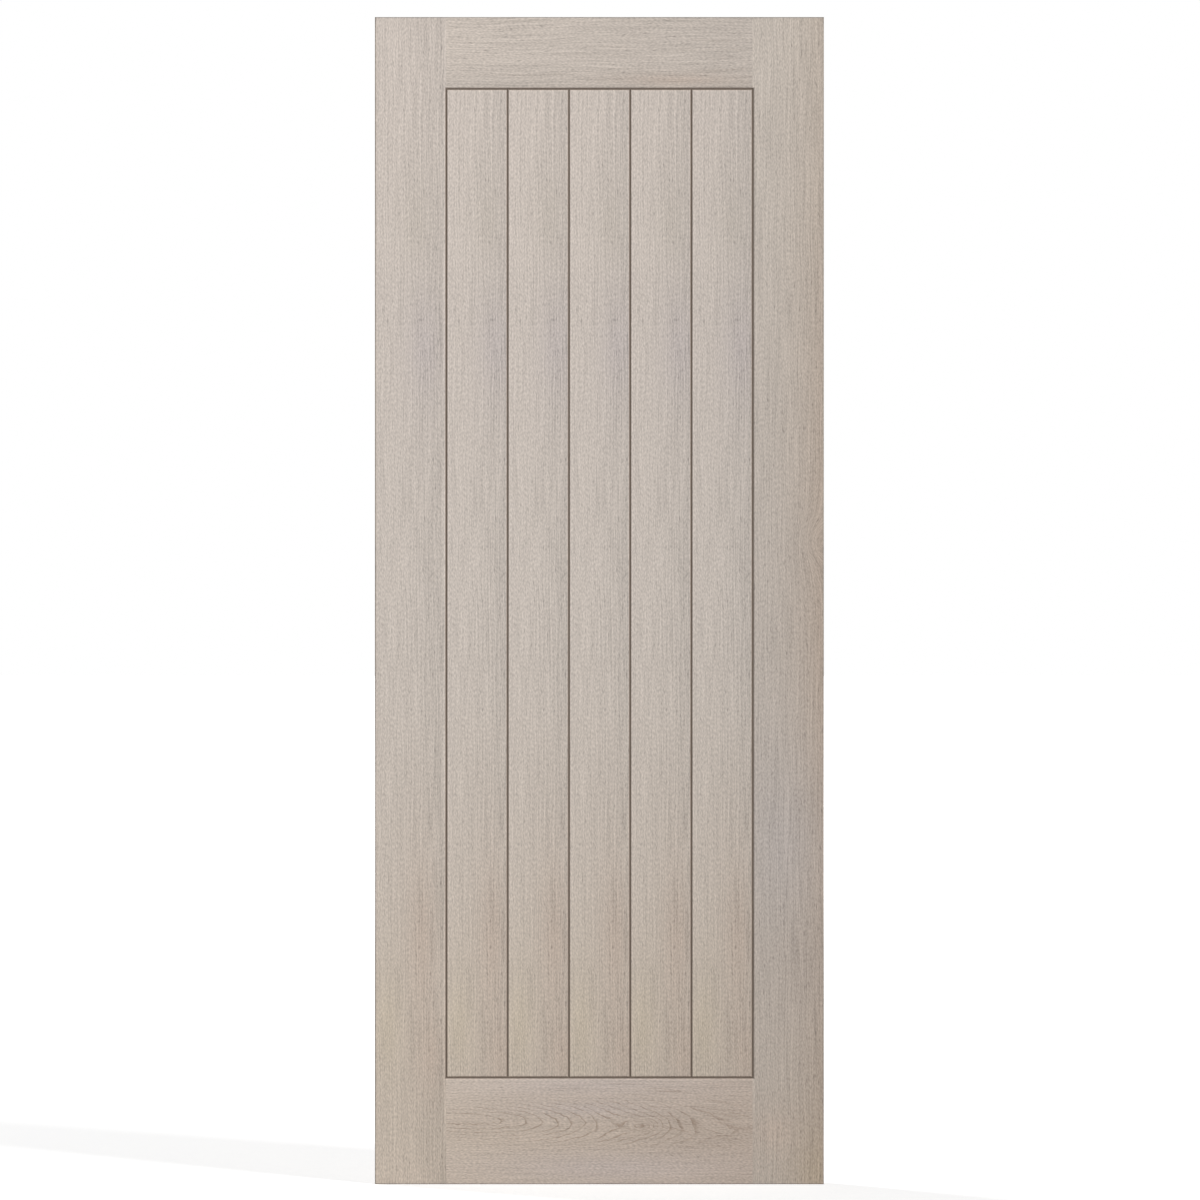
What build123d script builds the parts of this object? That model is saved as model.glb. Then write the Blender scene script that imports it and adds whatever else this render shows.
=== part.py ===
from build123d import *
import os

# Leaf, in millimetres: two foot six wide, six foot six high, a thirty-minute thickness
LEAF_WIDTH = 762.0
LEAF_HEIGHT = 1981.0
LEAF_THICKNESS = 44.0

# Framing: the stiles run the full height and the rails fit between them
STILE_WIDTH = 121.0
TOP_RAIL_HEIGHT = 122.0
BOTTOM_RAIL_HEIGHT = 181.0
SKIN_THICKNESS = 4.0
LIPPING_THICKNESS = 2.0
LIPPING_RADIUS = 1.2
END_ARRIS = 0.8

# Soft rounding where the walls of the V-joints meet the faces
ARRIS_RADIUS = 2.0

# Boards: tongued and grooved, bevelled round the face and bonded to the panel core
BOARD_COUNT = 5
BOARD_THICKNESS = 9.0
BOARD_BEVEL = 2.5
BOARD_SETBACK = 0.8
BOARD_TONGUE_THICKNESS = 2.5
BOARD_TONGUE_DEPTH = 5.0

# Framing joint: one tongue size for the rails' stub tenons and the panel core
FRAME_TONGUE_THICKNESS = 12.0
FRAME_TONGUE_DEPTH = 11.5

# Clearances of a tongue in its groove
TONGUE_SIDE_GAP = 0.15
TONGUE_END_GAP = 0.5

# Depths from the middle of the leaf towards its front face
FACE_DEPTH = LEAF_THICKNESS / 2
SKIN_SEAT_DEPTH = FACE_DEPTH - SKIN_THICKNESS
FRAME_BEVEL = BOARD_BEVEL + BOARD_SETBACK
GROOVE_DEPTH = FACE_DEPTH - FRAME_BEVEL
BOARD_SEAT_DEPTH = FACE_DEPTH - BOARD_SETBACK - BOARD_THICKNESS
BOARD_TONGUE_CENTRE = (GROOVE_DEPTH + BOARD_SEAT_DEPTH) / 2

# Panel between the joint lines of the framing
PANEL_RIGHT = LEAF_WIDTH - STILE_WIDTH
PANEL_TOP = LEAF_HEIGHT - TOP_RAIL_HEIGHT
PANEL_WIDTH = PANEL_RIGHT - STILE_WIDTH
PANEL_HEIGHT = PANEL_TOP - BOTTOM_RAIL_HEIGHT
BOARD_PITCH = PANEL_WIDTH / BOARD_COUNT

# Groove that takes the framing tongue
FRAME_TONGUE_HALF = FRAME_TONGUE_THICKNESS / 2
FRAME_GROOVE_HALF = FRAME_TONGUE_HALF + TONGUE_SIDE_GAP
FRAME_GROOVE_DEPTH = FRAME_TONGUE_DEPTH + TONGUE_END_GAP

LEAF_CENTRE = Plane.YZ.offset(LEAF_WIDTH / 2)


def strip(left, right, depth):
    """Plan section between two places across the leaf and between two depths."""
    near, far = max(depth), min(depth)
    section = Rectangle(right - left, near - far, align=(Align.MIN, Align.MIN))
    return Pos(left, -near) * section


def raised(section, foot, head):
    """Plan section drawn up from a foot height to a head height."""
    return Pos(0, 0, foot) * extrude(section, head - foot)


def front_of(piece):
    """Foremost face of a piece."""
    return piece.faces().sort_by(Axis.Y)[0]


def eased_leaf():
    """Whole leaf with its four long edges at head and foot eased, seen end on."""
    side = Rectangle(LEAF_THICKNESS, LEAF_HEIGHT, align=(Align.CENTER, Align.MIN))
    side = chamfer(side.vertices(), END_ARRIS)
    return extrude(Plane.YZ * side, LEAF_WIDTH)


def lipping():
    """Left edge lipping, over core and skins, rounded at its two outer corners."""
    section = strip(0, LIPPING_THICKNESS, (FACE_DEPTH, -FACE_DEPTH))
    corners = section.vertices().sort_by(Axis.X)[:2]
    radius = min(LIPPING_RADIUS, LIPPING_THICKNESS, FACE_DEPTH)
    return raised(fillet(corners, radius), 0, LEAF_HEIGHT) & eased_leaf()


def stile_core():
    """Left stile's core, with the framing groove down its inner edge."""
    body = strip(LIPPING_THICKNESS, STILE_WIDTH, (SKIN_SEAT_DEPTH, -SKIN_SEAT_DEPTH))
    groove_floor = STILE_WIDTH - FRAME_GROOVE_DEPTH
    groove = strip(groove_floor, STILE_WIDTH, (FRAME_GROOVE_HALF, -FRAME_GROOVE_HALF))
    return raised(body - groove, 0, LEAF_HEIGHT)


def framing_face():
    """Front skins of the framing in one: the V's outer wall, mitred and rounded off."""
    depth = (FACE_DEPTH, 0)
    sheet = raised(strip(LIPPING_THICKNESS, LEAF_WIDTH - LIPPING_THICKNESS, depth), 0, LEAF_HEIGHT)
    panel = raised(strip(STILE_WIDTH, PANEL_RIGHT, depth), BOTTOM_RAIL_HEIGHT, PANEL_TOP)
    square = sheet - panel
    bevelled = chamfer(front_of(square).inner_wires()[0].edges(), FRAME_BEVEL)
    rounded = fillet(front_of(bevelled).inner_wires()[0].edges(), ARRIS_RADIUS)
    return rounded & eased_leaf()


def skin_of(face, left, right, foot, head):
    """One member's share of the framing face."""
    return face & raised(strip(left, right, (FACE_DEPTH, SKIN_SEAT_DEPTH)), foot, head)


def rail_core(height):
    """Rail's core standing on its outer edge: stub tenons, and a groove on top."""
    tongue = (FRAME_TONGUE_HALF, -FRAME_TONGUE_HALF)
    groove = strip(STILE_WIDTH, PANEL_RIGHT, (FRAME_GROOVE_HALF, -FRAME_GROOVE_HALF))
    body = strip(STILE_WIDTH, PANEL_RIGHT, (SKIN_SEAT_DEPTH, -SKIN_SEAT_DEPTH))
    tenons = strip(STILE_WIDTH - FRAME_TONGUE_DEPTH, PANEL_RIGHT + FRAME_TONGUE_DEPTH, tongue)
    groove_floor = height - FRAME_GROOVE_DEPTH
    return raised(body, 0, height) + raised(tenons, 0, groove_floor) - raised(groove, groove_floor, height)


def panel_core():
    """Fire-resisting core behind the boards, tongued into the framing all round."""
    body = strip(STILE_WIDTH, PANEL_RIGHT, (BOARD_SEAT_DEPTH, -BOARD_SEAT_DEPTH))
    tongue_left = STILE_WIDTH - FRAME_TONGUE_DEPTH
    tongue_right = PANEL_RIGHT + FRAME_TONGUE_DEPTH
    tongue = strip(tongue_left, tongue_right, (FRAME_TONGUE_HALF, -FRAME_TONGUE_HALF))
    tongue_foot = BOTTOM_RAIL_HEIGHT - FRAME_TONGUE_DEPTH
    tongue_head = PANEL_TOP + FRAME_TONGUE_DEPTH
    return raised(body, BOTTOM_RAIL_HEIGHT, PANEL_TOP) + raised(tongue, tongue_foot, tongue_head)


def bevelled_board(left, right):
    """Board between two joint lines, with its front face bevelled and rounded on all four edges."""
    section = strip(left, right, (FACE_DEPTH - BOARD_SETBACK, BOARD_SEAT_DEPTH))
    square = raised(section, BOTTOM_RAIL_HEIGHT, PANEL_TOP)
    bevelled = chamfer(front_of(square).edges(), BOARD_BEVEL)
    return fillet(front_of(bevelled).edges(), ARRIS_RADIUS)


def board_joint(foot, depth, side_gap):
    """Bar from a joint line to a depth in the next board: a tongue, or with a gap its groove."""
    half = BOARD_TONGUE_THICKNESS / 2 + side_gap
    section = strip(foot, foot + depth, (BOARD_TONGUE_CENTRE + half, BOARD_TONGUE_CENTRE - half))
    return raised(section, BOTTOM_RAIL_HEIGHT, PANEL_TOP)


def board(index):
    """Front board: a tongue on its right but for the last, a groove on its left but for the first."""
    left = STILE_WIDTH + index * BOARD_PITCH
    right = left + BOARD_PITCH
    piece = bevelled_board(left, right)
    if index < BOARD_COUNT - 1:
        piece += board_joint(right, BOARD_TONGUE_DEPTH, 0)
    if index > 0:
        piece -= board_joint(left, BOARD_TONGUE_DEPTH + TONGUE_END_GAP, TONGUE_SIDE_GAP)
    return piece


def turned_over(piece):
    """Front piece as it sits on the back of the leaf."""
    return mirror(piece, about=Plane.XZ)


def at_right(piece):
    """Left piece as it sits on the right of the leaf."""
    return mirror(piece, about=LEAF_CENTRE)


def at_head(rail):
    """Rail that stands on its outer edge, turned over to the head of the leaf."""
    return Pos(0, 0, LEAF_HEIGHT) * mirror(rail, about=Plane.XY)


def stiles(face):
    """Cores, skins and lippings of both stiles."""
    skin = skin_of(face, LIPPING_THICKNESS, STILE_WIDTH, 0, LEAF_HEIGHT)
    left = {
        "stile_core": stile_core(),
        "stile_front_skin": skin,
        "stile_back_skin": turned_over(skin),
        "edge_lipping": lipping(),
    }
    pieces = {f"left_{name}": piece for name, piece in left.items()}
    pieces.update({f"right_{name}": at_right(piece) for name, piece in left.items()})
    return pieces


def rails(face):
    """Cores and skins of the top and bottom rails."""
    top_skin = skin_of(face, STILE_WIDTH, PANEL_RIGHT, PANEL_TOP, LEAF_HEIGHT)
    bottom_skin = skin_of(face, STILE_WIDTH, PANEL_RIGHT, 0, BOTTOM_RAIL_HEIGHT)
    return {
        "top_rail_core": at_head(rail_core(TOP_RAIL_HEIGHT)),
        "top_rail_front_skin": top_skin,
        "top_rail_back_skin": turned_over(top_skin),
        "bottom_rail_core": rail_core(BOTTOM_RAIL_HEIGHT),
        "bottom_rail_front_skin": bottom_skin,
        "bottom_rail_back_skin": turned_over(bottom_skin),
    }


def panel():
    """Panel core and the boards on both of its faces."""
    pieces = {"panel_core": panel_core()}
    for index in range(BOARD_COUNT):
        front = board(index)
        pieces[f"front_board_{index + 1}"] = front
        pieces[f"back_board_{index + 1}"] = turned_over(front)
    return pieces


os.makedirs("parts", exist_ok=True)
front = framing_face()
for name, piece in {**stiles(front), **rails(front), **panel()}.items():
    export_step(piece, f"parts/{name}.step")
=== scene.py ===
import math

import bpy
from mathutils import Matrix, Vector


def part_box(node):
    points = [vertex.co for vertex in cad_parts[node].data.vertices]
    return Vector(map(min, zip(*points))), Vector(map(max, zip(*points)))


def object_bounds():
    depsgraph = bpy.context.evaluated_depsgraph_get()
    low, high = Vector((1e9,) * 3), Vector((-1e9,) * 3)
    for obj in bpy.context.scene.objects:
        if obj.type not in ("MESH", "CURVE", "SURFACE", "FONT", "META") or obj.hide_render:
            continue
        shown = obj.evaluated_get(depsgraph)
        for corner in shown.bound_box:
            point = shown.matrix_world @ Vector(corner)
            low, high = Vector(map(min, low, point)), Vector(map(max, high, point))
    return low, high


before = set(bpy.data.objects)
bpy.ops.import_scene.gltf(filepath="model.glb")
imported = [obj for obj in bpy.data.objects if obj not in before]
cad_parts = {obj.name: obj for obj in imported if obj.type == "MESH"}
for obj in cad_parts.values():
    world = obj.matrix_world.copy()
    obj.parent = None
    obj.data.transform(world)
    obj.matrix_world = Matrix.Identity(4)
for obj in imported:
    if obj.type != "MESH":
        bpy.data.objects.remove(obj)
cad_low, cad_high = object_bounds()

# The room: a long lens square on to the leaf, a soft lamp high on the right, a like one
# behind, even light all round, and a pale floor under the foot. None of it is part of the leaf.
FOOT, HEAD = cad_low.z, cad_high.z
LEAF_HEIGHT = HEAD - FOOT
FACE = cad_high.y
MIDDLE = (cad_low + cad_high) / 2

# Where the leaf stands in the picture, in pixels, and the camera, in metres off the leaf's
# face, with its sensor in millimetres
PICTURE_PIXELS = 1200
LEAF_PIXELS = 1167.2
LEAF_CENTRE_PIXELS = (599.4, 600.65)
CAMERA_DISTANCE = 12.0
SENSOR_WIDTH = 36.0
SIGHT_REACH = 200.0

metres_per_pixel = LEAF_HEIGHT / LEAF_PIXELS
right_of_middle = (PICTURE_PIXELS / 2 - LEAF_CENTRE_PIXELS[0]) * metres_per_pixel
above_middle = (LEAF_CENTRE_PIXELS[1] - PICTURE_PIXELS / 2) * metres_per_pixel
lens = bpy.data.cameras.new("long_lens")
lens.sensor_width = SENSOR_WIDTH
lens.lens = SENSOR_WIDTH * CAMERA_DISTANCE / (PICTURE_PIXELS * metres_per_pixel)
lens.clip_end = SIGHT_REACH
camera = bpy.data.objects.new("camera", lens)
camera.location = (MIDDLE.x + right_of_middle, -FACE - CAMERA_DISTANCE, MIDDLE.z + above_middle)
camera.rotation_euler = (math.radians(90), 0, 0)
bpy.context.scene.collection.objects.link(camera)
bpy.context.scene.camera = camera
bpy.context.scene.view_settings.view_transform = "Standard"

LAMP_DISTANCE = 40.0
LAMP_WIDTH = 7.0
LAMP_WATTS = 12300.0
FRONT_LAMP_SIDE = (0.95, -1.0, 0.85)
REAR_LAMP_SIDE = (-0.95, 1.0, 0.85)


def soft_lamp(name, side):
    """Square lamp that stands off to one side of the middle of the leaf and points at it."""
    away = Vector(side).normalized()
    light = bpy.data.lights.new(name, "AREA")
    light.size = LAMP_WIDTH
    light.energy = LAMP_WATTS
    lamp = bpy.data.objects.new(name, light)
    lamp.location = MIDDLE + away * LAMP_DISTANCE
    lamp.rotation_mode = "QUATERNION"
    lamp.rotation_quaternion = away.to_track_quat("Z", "Y")
    bpy.context.scene.collection.objects.link(lamp)


soft_lamp("front_lamp", FRONT_LAMP_SIDE)
soft_lamp("rear_lamp", REAR_LAMP_SIDE)


class Wire:
    """One socket among the nodes of a material. Sums on wires add the nodes that work them out."""

    # Numbers of a colour mix's sockets: its share, its two colours and its result
    MIX_SHARE, MIX_FIRST, MIX_SECOND, MIX_RESULT = 0, 6, 7, 2

    def __init__(self, nodes, socket=None):
        self.nodes = nodes
        self.socket = socket

    def node(self, kind, settings, inputs, output=0):
        """Any node, from its settings and the values or wires of its sockets, and one outlet."""
        made = self.nodes.new(kind)
        for name, value in settings.items():
            setattr(made, name, value)
        for name, value in inputs.items():
            if isinstance(value, Wire):
                self.nodes.id_data.links.new(value.socket, made.inputs[name])
            else:
                made.inputs[name].default_value = value
        outlet = made.outputs[output] if made.outputs else None
        return Wire(self.nodes, outlet)

    def maths(self, operation, *values):
        """One step of arithmetic on wires or plain numbers."""
        return self.node("ShaderNodeMath", {"operation": operation}, dict(enumerate(values)))

    def whole(self):
        """Number of the cell that this wire is in."""
        return self.maths("FLOOR", self)

    def fraction(self):
        """How far along its cell this wire is, from 0 to 1."""
        return self.maths("FRACT", self)

    def lesser(self, other):
        """The smaller of this wire and another wire or number."""
        return self.maths("MINIMUM", self, other)

    def __add__(self, other):
        return self.maths("ADD", self, other)

    def __sub__(self, other):
        return self.maths("SUBTRACT", self, other)

    def __rsub__(self, other):
        return self.maths("SUBTRACT", other, self)

    def __mul__(self, other):
        return self.maths("MULTIPLY", self, other)

    def __truediv__(self, other):
        return self.maths("DIVIDE", self, other)

    def __pow__(self, other):
        return self.maths("POWER", self, other)

    def __abs__(self):
        return self.maths("ABSOLUTE", self)

    __radd__ = __add__

    def ramp(self, low, high):
        """0 at or before low, 1 at or past high, and smooth between."""
        inputs = {"Value": self, "From Min": low, "From Max": high}
        return self.node("ShaderNodeMapRange", {"interpolation_type": "SMOOTHSTEP"}, inputs)

    def blend(self, first, second):
        """Colour that goes from first to second as this wire goes from 0 to 1."""
        inputs = {self.MIX_SHARE: self, self.MIX_FIRST: first, self.MIX_SECOND: second}
        return self.node("ShaderNodeMix", {"data_type": "RGBA"}, inputs, self.MIX_RESULT)

    def dimmed(self, factor):
        """This colour times a number."""
        inputs = {"Vector": self, "Scale": factor}
        return self.node("ShaderNodeVectorMath", {"operation": "SCALE"}, inputs)


def coloured(red, green, blue):
    """Colour as a screen shows it, each part from 0 to 255, in the linear values of a socket."""

    def linear(part):
        share = part / 255
        return share / 12.92 if share <= 0.04045 else ((share + 0.055) / 1.055) ** 2.4

    return (linear(red), linear(green), linear(blue), 1.0)


def cleared(owner):
    """Wire with no socket yet, to lay out the nodes of a new material or world from nothing."""
    owner.use_nodes = True
    owner.node_tree.nodes.clear()
    return Wire(owner.node_tree.nodes)


# The room is white to the eye and in a gloss, and lights the leaf with a part of that
EVEN_LIGHT = 0.24
WHITE = coloured(255, 255, 255)
world = bpy.data.worlds.new("even_light")
bpy.context.scene.world = world
start = cleared(world)
camera_ray = start.node("ShaderNodeLightPath", {}, {}, "Is Camera Ray")
glossy_ray = start.node("ShaderNodeLightPath", {}, {}, "Is Glossy Ray")
through_ray = start.node("ShaderNodeLightPath", {}, {}, "Is Transmission Ray")
seen = (camera_ray + glossy_ray + through_ray).ramp(0, 1)
strength = seen * (1 - EVEN_LIGHT) + EVEN_LIGHT
sky = start.node("ShaderNodeBackground", {}, {"Color": WHITE, "Strength": strength})
start.node("ShaderNodeOutputWorld", {}, {"Surface": sky})

# The floor glows a little to the camera alone, and more with distance, to meet the white room
FLOOR_REACH = 80.0
FLOOR_PAINT = coloured(230, 230, 230)
FLOOR_GLOW = 0.40
FADE_START, FADE_END = 6.0, 14.0
floor_mesh = bpy.data.meshes.new("floor")
quarters = ((-1, -1), (1, -1), (1, 1), (-1, 1))
corners = [(x * FLOOR_REACH, y * FLOOR_REACH, FOOT) for x, y in quarters]
floor_mesh.from_pydata(corners, [], [range(len(corners))])
floor = bpy.data.objects.new("floor", floor_mesh)
bpy.context.scene.collection.objects.link(floor)
floor_finish = bpy.data.materials.new("pale_floor")
start = cleared(floor_finish)
floor_place = start.node("ShaderNodeTexCoord", {}, {}, "Object")
from_leaf = start.node("ShaderNodeVectorMath", {"operation": "LENGTH"}, {0: floor_place}, "Value")
camera_ray = start.node("ShaderNodeLightPath", {}, {}, "Is Camera Ray")
paint = start.node("ShaderNodeBsdfDiffuse", {}, {"Color": FLOOR_PAINT})
strength = camera_ray * (from_leaf.ramp(FADE_START, FADE_END) + FLOOR_GLOW)
glow = start.node("ShaderNodeEmission", {}, {"Color": WHITE, "Strength": strength})
surface = start.node("ShaderNodeAddShader", {}, {0: paint, 1: glow})
start.node("ShaderNodeOutputMaterial", {}, {"Surface": surface})
floor_mesh.materials.append(floor_finish)

# Stile and rail cores: strips of redwood glued side by side, each with its own rings. The
# rails' stub tenons sit in the stiles, and the cores show only at the head and the foot.
EARLY_WOOD = coloured(202, 173, 134)
LATE_WOOD = coloured(172, 137, 98)
STRIP_WIDTH = 0.036
RING_WIDTH = 0.0042
RINGS_FROM_STRIP_TO_STRIP = 3.37
CURLS_PER_METRE = (30, 45, 4)
CURL_FRAY = 1
CURL_IN_RINGS = 1.6
LATE_START, LATE_END = 0.1, 0.9
CORE_ROUGHNESS = 0.7
CORE_RELIEF = 0.0002


def leaf_material(name):
    """New material, and wires for the place across, through and up the leaf."""
    material = bpy.data.materials.new(name)
    start = cleared(material)
    place = start.node("ShaderNodeTexCoord", {}, {}, "Object")
    return material, [start.node("ShaderNodeSeparateXYZ", {}, {0: place}, axis) for axis in "XYZ"]


def speckle(first, second, third, fray):
    """Random number between -1 and 1 from three places in cells, smooth or with finer fraying."""
    place = first.node("ShaderNodeCombineXYZ", {}, {"X": first, "Y": second, "Z": third})
    inputs = {"Vector": place, "Scale": 1.0, "Detail": fray}
    return first.node("ShaderNodeTexNoise", {}, inputs) * 2 - 1


def dress(pieces, material, colour, roughness, height, relief):
    """Closes a material with one matt surface whose relief is in metres, and puts it on pieces."""
    start = Wire(material.node_tree.nodes)
    normal = start.node("ShaderNodeBump", {}, {"Distance": relief, "Height": height})
    inputs = {"Base Color": colour, "Roughness": roughness, "Normal": normal}
    surface = start.node("ShaderNodeBsdfPrincipled", {}, inputs)
    start.node("ShaderNodeOutputMaterial", {}, {"Surface": surface})
    for piece in pieces:
        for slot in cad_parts[piece].material_slots:
            slot.material = material


redwood, (x, y, z) = leaf_material("core_redwood")
strip = ((x + z) / STRIP_WIDTH).whole()
curled = [way * curls for way, curls in zip((x, y, z), CURLS_PER_METRE)]
curl = speckle(*curled, CURL_FRAY)
ring = (y / RING_WIDTH + strip * RINGS_FROM_STRIP_TO_STRIP + curl * CURL_IN_RINGS).fraction()
late = ring.ramp(LATE_START, LATE_END)
cores = ["left_stile_core", "right_stile_core", "top_rail_core", "bottom_rail_core"]
dress(cores, redwood, late.blend(EARLY_WOOD, LATE_WOOD), CORE_ROUGHNESS, late, CORE_RELIEF)

# Panel core: one slab of pressed flakes, dense enough to hold back fire, tongued into the
# frame all round. The boards are bonded to it, and nothing of it shows on a finished leaf.
PALE_FLAKE = coloured(202, 166, 118)
DARK_FLAKE = coloured(158, 120, 80)
FLAKES_PER_METRE = 260.0
FLAKE_SQUEEZE = 0.5
SLAB_ROUGHNESS = 0.8
SLAB_RELIEF = 0.0003

flakeboard, (x, y, z) = leaf_material("core_flakeboard")
place = x.node("ShaderNodeCombineXYZ", {}, {"X": x, "Y": y, "Z": z * FLAKE_SQUEEZE})
flakes = x.node("ShaderNodeTexVoronoi", {}, {"Vector": place, "Scale": FLAKES_PER_METRE}, "Color")
flake = x.node("ShaderNodeSeparateXYZ", {}, {0: flakes})
colour = flake.blend(PALE_FLAKE, DARK_FLAKE)
dress(["panel_core"], flakeboard, colour, SLAB_ROUGHNESS, flake, SLAB_RELIEF)

# Left stile: fibreboard skins faced with a printed and embossed oak sheet, bonded over the
# core. Its colour is pale at the head, warmer at the foot, and darker to the right.

# The print's colours at the head, waist and foot of the leaf, and the tones of its patches
OAK = coloured(201, 190, 181), coloured(196, 186, 177), coloured(187, 174, 160)
LILAC = coloured(186, 176, 176)
PEACH = coloured(189, 167, 151)
OCHRE = coloured(190, 177, 153)
OLIVE = coloured(179, 170, 157)
PALE_OAK = coloured(205, 191, 177)
PAINTED_JOINT_SHADE = coloured(122, 109, 98)

# Where the head's colour goes over to the waist's and then to the foot's, in shares of the leaf
WAIST_START, WAIST_END = -0.1, 0.6
FOOT_START, FOOT_END = 0.45, 1.1

# How the sheet changes from left to right: how much darker, the even part of that, and its grain
RIGHT_SHADE, EVEN_PART = 0.12, 0.4
QUIET_SIDE, LIVELY_GAIN = 0.75, 0.7

# Patches of a print: tone, place across and up, reach across and up, and strength. A stile's
# and a board's are measured across from its own left side, a rail's from the leaf's
OAK_PATCHES = (
    (OCHRE, (0.020, 0.27), (0.035, 0.12), 0.4),
    (OLIVE, (0.070, 1.63), (0.035, 0.09), 0.3),
    (PALE_OAK, (0.070, 0.0), (0.070, 0.05), 0.7),
    (LILAC, (0.085, 1.42), (0.040, 0.12), 0.45),
    (PEACH, (0.080, 0.42), (0.035, 0.18), 0.4),
    (PEACH, (0.095, 0.22), (0.035, 0.10), 0.35),
)

# Layers of the grain: cells to the metre across and along it, its own number, and its fraying
BEND = (20, 7, 0, 1)
RIPPLE = (110, 30, 3, 0)
DRIFT = (60, 2, 17, 1)
BANDS = (42, 1.3, 5, 1)
FIBRES = (385, 7, 7, 1)
DASHES = (450, 200, 11, 0)
TICKS = (370, 65, 13, 0)

# Metres that the fibres bend aside and that their marks slip along, and how much each shows
BEND_REACH, RIPPLE_REACH = 0.004, 0.0006
FIBRE_SLIP, DASH_SLIP, TICK_SLIP = 0.214, 0.015, 0.031
TICK_START, TICK_END = 0.25, 0.75
PLAIN_TONE = 1.01
BAND_TONE, FIBRE_TONE, DASH_TONE, TICK_TONE = 0.03, 0.245, 0.26, 0.21
FIBRE_RELIEF, DASH_RELIEF, TICK_RELIEF = 0.5, 0.4, 0.5
OAK_SHEET = 1.0

# In metres: how deep down a V-joint painted shade browns the sheet, how far from a joint line
# a painted highlight lifts it, which tapers off past the boards, and how far from the head
# and foot painted shade dims it
JOINT_START, JOINT_END = 0.0008, 0.0024
HIGHLIGHT_START, HIGHLIGHT_END = 0.0036, 0.0062
HIGHLIGHT_LIFT, HIGHLIGHT_TAPER = 0.09, 0.035
END_SHADE_FULL, END_SHADE_CLEAR = 0.0008, 0.0022
PAINTED_END_SHADE = 0.45
SHEET_ROUGHNESS = 0.55
SHEET_RELIEF = 0.0003

board_low, board_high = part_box("front_board_1")
panel_left, panel_foot, panel_head = board_low.x, board_low.z, board_high.z


def layer(across, along, sheet, cells):
    """One layer of a sheet's grain, between -1 and 1."""
    cells_across, cells_along, number, fray = cells
    return speckle(across * cells_across, along * cells_along, sheet + number, fray)


def oak_grain(across, along, sheet, life=1.0):
    """Tone of the print, about 1, and its emboss: bent fibres, dashes, ticks and broad bands."""
    bend = layer(across, along, sheet, BEND) * BEND_REACH
    ripple = layer(across, along, sheet, RIPPLE) * RIPPLE_REACH
    drift = layer(across, along, sheet, DRIFT)
    line = across + bend + ripple
    bands = layer(line, along, sheet, BANDS)
    fibres = layer(line, along + drift * FIBRE_SLIP, sheet, FIBRES)
    dashes = layer(line, along + drift * DASH_SLIP, sheet, DASHES)
    ticks = layer(line, along + drift * TICK_SLIP, sheet, TICKS).ramp(TICK_START, TICK_END)
    lively = fibres * FIBRE_TONE - ticks * TICK_TONE
    tone = bands * BAND_TONE + dashes * DASH_TONE + lively * life + PLAIN_TONE
    emboss = fibres * FIBRE_RELIEF + dashes * DASH_RELIEF - ticks * TICK_RELIEF
    return tone, emboss


def hill(across, along, place, reach):
    """1 at a place, and falling smoothly away from it over its reach across and along."""
    aside = (across - place[0]) / reach[0]
    away = (along - place[1]) / reach[1]
    return (1 + aside * aside + away * away) ** -2


def patched(colour, across, up, patches):
    """The print's colour with its soft patches."""
    for tone, place, reach, strength in patches:
        colour = (hill(across, up, place, reach) * strength).blend(colour, tone)
    return colour


def faded(height, head, waist, foot):
    """Colour of a print at a height, from its colours at the head, waist and foot of the leaf."""
    down = (HEAD - height) / LEAF_HEIGHT
    upper = down.ramp(WAIST_START, WAIST_END).blend(head, waist)
    return down.ramp(FOOT_START, FOOT_END).blend(upper, foot)


def shared_print(across, up, share):
    """Colour that the left stile and every board share, darker to the right."""
    colour = patched(faded(up, *OAK), across, up, OAK_PATCHES)
    return colour.dimmed(1 - share * (share * (1 - EVEN_PART) + EVEN_PART) * RIGHT_SHADE)


# Painted highlight: a pale line along the arris beside a V-joint, standing in for light caught by
# its rounding
def painted_arris_highlight(from_joint):
    """Tone of the sheet, over 1 where a highlight is painted along the arris of a V-joint, by
    distance from its joint line.
    """
    return 1 + (1 - from_joint.ramp(HIGHLIGHT_START, HIGHLIGHT_END)) * HIGHLIGHT_LIFT


def past_panel(height):
    """How far a height is below the foot or above the head of the boards, and 0 beside them."""
    return 0 - (height - panel_foot).lesser(panel_head - height).lesser(0)


# Painted shade: a dark line along the head and foot, where the arrises there fall into shade
def head_foot_painted_shade(height):
    """Tone of the sheet, under 1 where shade is painted within a few millimetres of the head and
    foot.
    """
    clear = (HEAD - height).lesser(height - FOOT).ramp(END_SHADE_FULL, END_SHADE_CLEAR)
    return 1 - (1 - clear) * PAINTED_END_SHADE


def lay_sheet(pieces, material, colour, depth, emboss):
    """Closes a material as the oak sheet, with painted shade down in the V-joints, and lays it on
    pieces.
    """
    # Painted shade: down in the V-joints the sheet goes over to a dark brown, where shade falls
    joint_shade_share = (FACE - abs(depth)).ramp(JOINT_START, JOINT_END)
    colour = joint_shade_share.blend(colour, PAINTED_JOINT_SHADE)
    dress(pieces, material, colour, SHEET_ROUGHNESS, emboss, SHEET_RELIEF)


left_oak, (x, y, z) = leaf_material("left_stile_oak")
share = x / panel_left
grain, emboss = oak_grain(x, z, OAK_SHEET, share * LIVELY_GAIN + QUIET_SIDE)
shade = grain * head_foot_painted_shade(z) * painted_arris_highlight(panel_left - x + past_panel(z) * HIGHLIGHT_TAPER)
colour = shared_print(x, z, share).dimmed(shade)
lay_sheet(["left_stile_front_skin", "left_stile_back_skin"], left_oak, colour, y, emboss)

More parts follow.
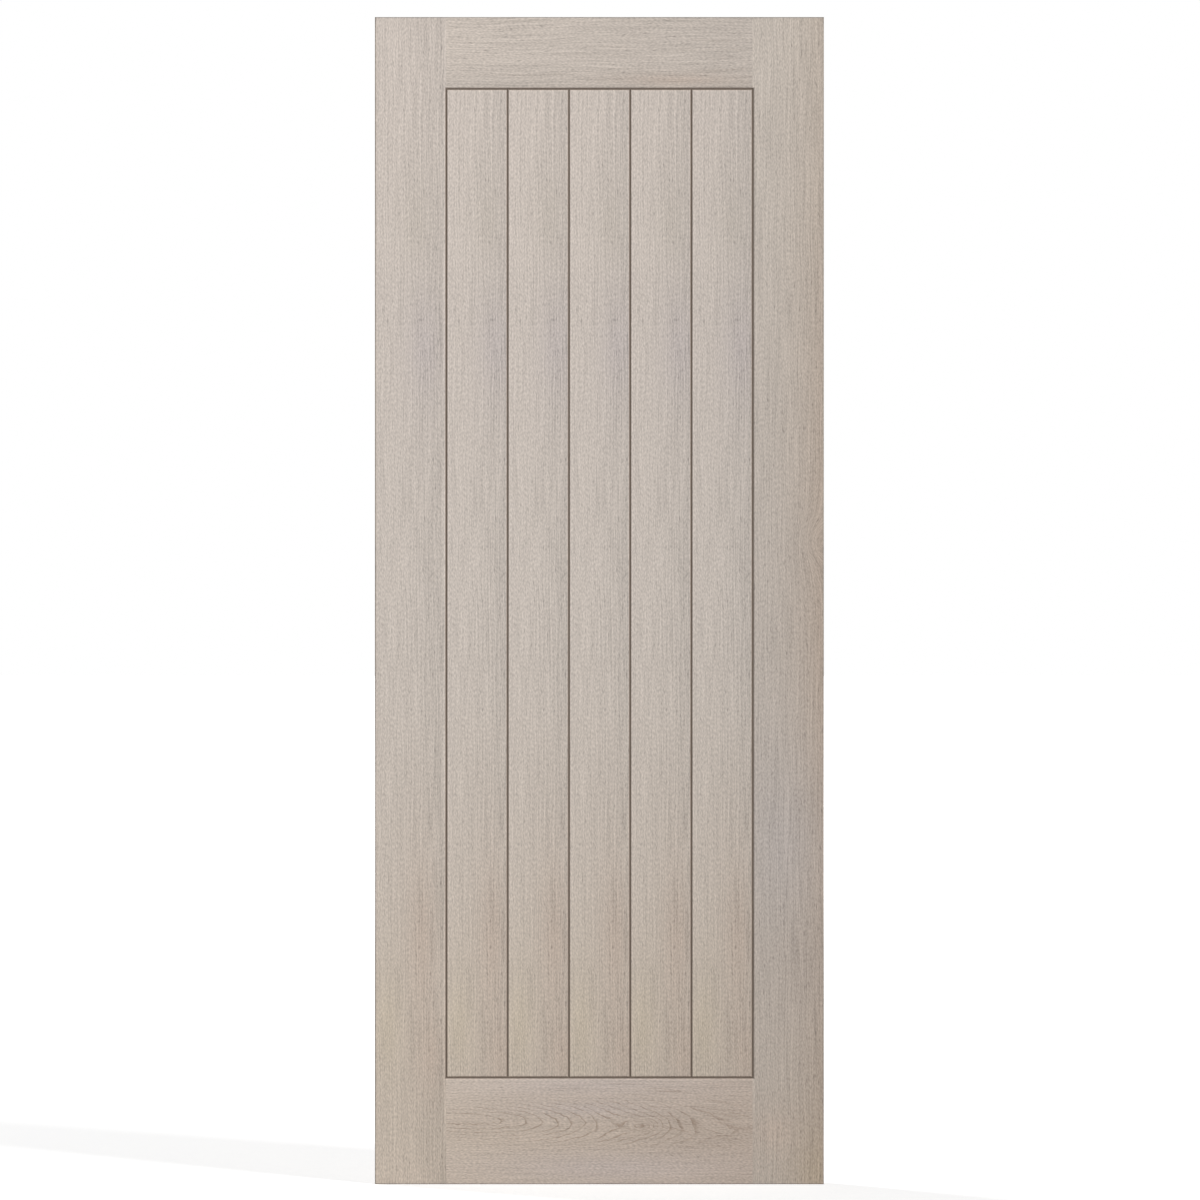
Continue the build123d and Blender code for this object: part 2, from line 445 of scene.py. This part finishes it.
# Right stile: made as the left one is, from another sheet, darker and browner, that turns
# reddish and wavy along its outer edge.
INNER_OAK = coloured(187, 177, 167), coloured(178, 168, 159), coloured(178, 167, 156)
OUTER_OAK = coloured(177, 165, 153), coloured(166, 150, 136), coloured(168, 153, 139)
DARK_LILAC = coloured(166, 159, 157)
DARK_PEACH = coloured(159, 147, 138)
DARK_OCHRE = coloured(175, 158, 134)
RIGHT_PATCHES = (
    (DARK_LILAC, (0.050, 0.58), (0.10, 0.20), 0.5),
    (DARK_OCHRE, (0.110, 0.02), (0.05, 0.09), 0.5),
    (DARK_PEACH, (0.085, 0.35), (0.08, 0.14), 0.42),
    (PEACH, (0.035, 0.09), (0.05, 0.05), 0.35),
)
SWIRL = (0.116, 1.09)
SWIRL_REACH = (0.035, 0.045)
SWIRL_BEND = 0.040
RIGHT_QUIET_SIDE, RIGHT_LIVELY_GAIN = 0.95, 0.5
RIGHT_SHEET = 21.0

right_low, right_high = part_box("right_stile_front_skin")
right_oak, (x, y, z) = leaf_material("right_stile_oak")
across = x - right_low.x
share = across / (right_high.x - right_low.x)
bent = x + hill(across, z, SWIRL, SWIRL_REACH) * SWIRL_BEND
grain, emboss = oak_grain(bent, z, RIGHT_SHEET, share * RIGHT_LIVELY_GAIN + RIGHT_QUIET_SIDE)
shade = grain * head_foot_painted_shade(z) * painted_arris_highlight(across + past_panel(z) * HIGHLIGHT_TAPER)
colour = (share * share).blend(faded(z, *INNER_OAK), faded(z, *OUTER_OAK))
colour = patched(colour, across, z, RIGHT_PATCHES).dimmed(shade)
lay_sheet(["right_stile_front_skin", "right_stile_back_skin"], right_oak, colour, y, emboss)

# Top rail: skins like the stiles', with the oak sheet lying level, over a core tenoned into
# the stiles. Long lazy lines run through the sheet, and painted shade darkens it just over the
# boards.
TOP_RAIL_LEFT, TOP_RAIL_RIGHT = coloured(197, 186, 176), coloured(181, 171, 162)
TOP_PATCHES = ((PEACH, (0.51, 1.874), (0.13, 0.014), 0.4),)
LINE_OAK = coloured(128, 108, 90)
LAZY_BEND = (5, 9, 2, 0)
LAZY_LINES = (210, 6, 4, 1)
LAZY_REACH = 0.007
LINE_START, LINE_END = 0.1, 0.7
LINES_AT_LEFT, LINES_GAIN = 0.10, 0.10
TOP_RAIL_SHADE, TOP_RAIL_SHADE_REACH = 0.08, 0.055
TOP_LIFE = 1.2
TOP_SHEET = 41.0

rail_length = right_low.x - panel_left
top_oak, (x, y, z) = leaf_material("top_rail_oak")
share = (x - panel_left) / rail_length
lazy = z + layer(x, z, TOP_SHEET, LAZY_BEND) * LAZY_REACH
grain, emboss = oak_grain(lazy, x, TOP_SHEET, TOP_LIFE)
lines = layer(lazy, x, TOP_SHEET, LAZY_LINES).ramp(LINE_START, LINE_END)
colour = patched(share.blend(TOP_RAIL_LEFT, TOP_RAIL_RIGHT), x, z, TOP_PATCHES)
colour = (lines * (share * LINES_GAIN + LINES_AT_LEFT)).blend(colour, LINE_OAK)
# Painted shade: the rail darkens towards its joint with the boards
clear_of_boards = (z - panel_head).ramp(0, TOP_RAIL_SHADE_REACH)
shade = grain * head_foot_painted_shade(z) * (1 - (1 - clear_of_boards) * TOP_RAIL_SHADE)
colour = colour.dimmed(shade)
lay_sheet(["top_rail_front_skin", "top_rail_back_skin"], top_oak, colour, y, emboss)

# Bottom rail: made as the top one is, but its sheet shows a flat-sawn plank, with year rings
# cut almost level with the pith. They make nested crowns that part round a small knot.
BOTTOM_RAIL_LEFT, BOTTOM_RAIL_RIGHT = coloured(194, 180, 166), coloured(180, 165, 152)
DUSK_OAK = coloured(158, 143, 130)
KNOT, KNOT_CORE = (0.4536, 0.0991), (0.007, 0.0035)
BOTTOM_PATCHES = (
    (DUSK_OAK, (0.155, 0.102), (0.06, 0.022), 0.25),
    (DUSK_OAK, (0.57, 0.068), (0.12, 0.022), 0.22),
    (LILAC, (0.40, 0.028), (0.26, 0.034), 0.4),
    (LILAC, (0.36, 0.17), (0.30, 0.030), 0.35),
    (LILAC, (0.36, 0.128), (0.15, 0.018), 0.35),
    (LINE_OAK, KNOT, KNOT_CORE, 0.6),
)

# Year rings: two knots push them aside, by so many rings, over a pith that dives to the right
KNOT_REACH, KNOT_RINGS = (0.040, 0.016), 4.0
SMALL_KNOT, SMALL_KNOT_REACH, SMALL_KNOT_RINGS = (0.202, 0.105), (0.010, 0.006), 0.8
RING_SPACING = 0.0048
PITH_HEIGHT, PITH_FALL = 0.1155, 0.035
PITH_DEPTH, PITH_DIVE = 0.012, 0.070
DIVE_START, DIVE_END = 0.16, 0.62
RAGGED, RAGGED_RINGS = (22, 45, -2, 1), 0.55
CRUMBLED, CRUMBLED_RINGS = (110, 110, 2, 0), 0.15
YEAR_LINE_WIDTH = 0.28

# The crowns' place in the rail and how their lines break up, their streaks, with cells to the
# ring, and the fine slants that fan out beside and over them
FIGURE_PLACE, FIGURE_REACH = (0.34, 0.104), (0.34, 0.052)
FIGURE_START, FIGURE_END = 0.12, 0.6
BREAKS, BREAK_START, BREAK_END = (45, 90, 8, 1), -0.35, 0.3
STREAKS, STREAK_START, STREAK_END = (2, 14, 4, 1), 0.0, 0.6
BROKEN_LINE, WHOLE_LINE, STREAK_TONE, FIGURE_TONE = 0.42, 0.22, 0.14, 0.03
SLANTS, SLANT_START, SLANT_END = (400, 11, 6, 1), 0.05, 0.5
FAN_MIDDLE, FAN_FALL, FAN_SPREAD = 0.55, 0.54, 3.0
FLANK_PLACE, FLANK_REACH = (0.60, 0.094), (0.16, 0.045)
BROW_PLACE, BROW_REACH, BROW_SHARE = (0.47, 0.156), (0.20, 0.022), 0.9
BROKEN_SLANT, WHOLE_SLANT = 0.19, 0.29
BOTTOM_LIFE = 0.7
BOTTOM_SHEET = 65.0

bottom_oak, (x, y, z) = leaf_material("bottom_rail_oak")
share = (x - panel_left) / rail_length
grain, emboss = oak_grain(z, x, BOTTOM_SHEET, BOTTOM_LIFE)
off_pith = z - (PITH_HEIGHT - x * PITH_FALL)
pith_depth = x.ramp(DIVE_START, DIVE_END) * PITH_DIVE + PITH_DEPTH
from_pith = (off_pith * off_pith + pith_depth * pith_depth) ** 0.5
knots = hill(x, z, KNOT, KNOT_REACH) * KNOT_RINGS
knots += hill(x, z, SMALL_KNOT, SMALL_KNOT_REACH) * SMALL_KNOT_RINGS
ragged = layer(x, z, BOTTOM_SHEET, RAGGED) * RAGGED_RINGS
ragged += layer(x, z, BOTTOM_SHEET, CRUMBLED) * CRUMBLED_RINGS
year = from_pith / RING_SPACING - knots + ragged
year_line = 1 - year.fraction().ramp(0, YEAR_LINE_WIDTH)
breaks = layer(x, z, BOTTOM_SHEET, BREAKS).ramp(BREAK_START, BREAK_END)
streaks = layer(year, x, BOTTOM_SHEET, STREAKS).ramp(STREAK_START, STREAK_END)
figured = hill(x, z, FIGURE_PLACE, FIGURE_REACH).ramp(FIGURE_START, FIGURE_END)
crowns = year_line * (breaks * BROKEN_LINE + WHOLE_LINE) + streaks * STREAK_TONE + FIGURE_TONE
fan = z + (x - FAN_MIDDLE) * (FAN_FALL - z * FAN_SPREAD)
slants = layer(fan, x, BOTTOM_SHEET, SLANTS).ramp(SLANT_START, SLANT_END)
slanted = hill(x, z, FLANK_PLACE, FLANK_REACH) + hill(x, z, BROW_PLACE, BROW_REACH) * BROW_SHARE
slants *= breaks * BROKEN_SLANT + WHOLE_SLANT
colour = patched(share.blend(BOTTOM_RAIL_LEFT, BOTTOM_RAIL_RIGHT), x, z, BOTTOM_PATCHES)
colour = (slanted * slants).blend(colour, LINE_OAK)
colour = (figured * crowns).blend(colour, LINE_OAK)
colour = colour.dimmed(grain * head_foot_painted_shade(z) * painted_arris_highlight(panel_foot - z))
lay_sheet(["bottom_rail_front_skin", "bottom_rail_back_skin"], bottom_oak, colour, y, emboss)

# Boards: fibreboard faced with the same oak sheet as the left stile, one print after another,
# tongued and grooved together, bevelled round the face and bonded to the panel core.
BOARD_COUNT = 5
LAST_BOARD_SHADE = 0.09
FOOT_SHADE_PART, SHADE_GAIN_UP = 0.75, 0.4

board_pitch = rail_length / BOARD_COUNT
board_oak, (x, y, z) = leaf_material("board_oak")
from_left = (x - panel_left) / board_pitch
share = from_left.fraction()
across = share * board_pitch
grain, emboss = oak_grain(across, z, OAK_SHEET, share * LIVELY_GAIN + QUIET_SIDE)
along_panel = from_left / BOARD_COUNT
to_last = along_panel * along_panel * (z / HEAD * SHADE_GAIN_UP + FOOT_SHADE_PART)
shade = grain * (1 - to_last * LAST_BOARD_SHADE) * painted_arris_highlight(across.lesser(panel_head - z))
colour = shared_print(across, z, share).dimmed(shade)
boards = [f"{side}_board_{n + 1}" for side in ("front", "back") for n in range(BOARD_COUNT)]
lay_sheet(boards, board_oak, colour, y, emboss)

# Edge lippings: thin strips of oak glued over core and skins down both long edges, planed and
# rounded at the corners, and a shade darker than the sheet.
LIPPING_PALE, LIPPING_DARK = coloured(158, 146, 134), coloured(142, 130, 120)
LIPPING_STREAKS = (250, 5, 2, 1)
STREAK_PALE_END, STREAK_DARK_END = -0.6, 0.6
LIPPING_ROUGHNESS = 0.6
LIPPING_SHEET = 81.0

lipping_oak, (x, y, z) = leaf_material("edge_lipping_oak")
grain, emboss = oak_grain(y, z, LIPPING_SHEET)
streak = layer(y, z, LIPPING_SHEET, LIPPING_STREAKS).ramp(STREAK_PALE_END, STREAK_DARK_END)
colour = streak.blend(LIPPING_PALE, LIPPING_DARK).dimmed(grain * head_foot_painted_shade(z))
lippings = ["left_edge_lipping", "right_edge_lipping"]
dress(lippings, lipping_oak, colour, LIPPING_ROUGHNESS, emboss, SHEET_RELIEF)
